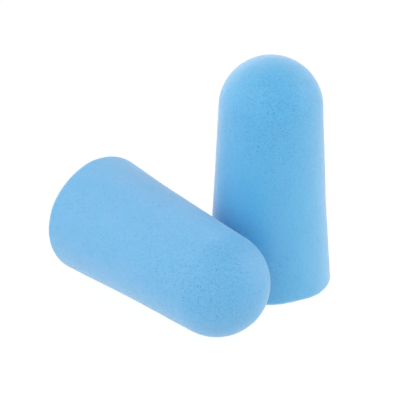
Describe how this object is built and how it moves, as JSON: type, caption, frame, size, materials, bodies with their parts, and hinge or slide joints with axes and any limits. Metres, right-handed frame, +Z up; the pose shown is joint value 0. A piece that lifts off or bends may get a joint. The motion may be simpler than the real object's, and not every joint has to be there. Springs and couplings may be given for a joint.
{
  "type": "foam ear plugs",
  "caption": "Pair of tapered foam ear plugs with domed noses and flat flared bases: one stands on its base, the other lies beside it and lifts off.",
  "frame": {"origin": "centre of the standing plug's flat base, on the surface that both plugs rest on", "axes": "+Z up along the standing plug's axis, +X away from the lying plug, whose nose points towards the front at -Y and +X"},
  "size_m": [0.0284, 0.0233, 0.024],
  "materials": {
    "standing_foam": "matte",
    "lying_foam": "matte"
  },
  "bodies": {
    "standing_plug": {"standing_plug": "standing_foam"},
    "lying_plug": {"lying_plug": "lying_foam"}
  },
  "joints": [
    {"name": "lying_plug_lift", "type": "slide", "parent": "standing_plug", "child": "lying_plug", "axis": [0, 0, 1], "range_m": [0, 0.035]}
  ]
}
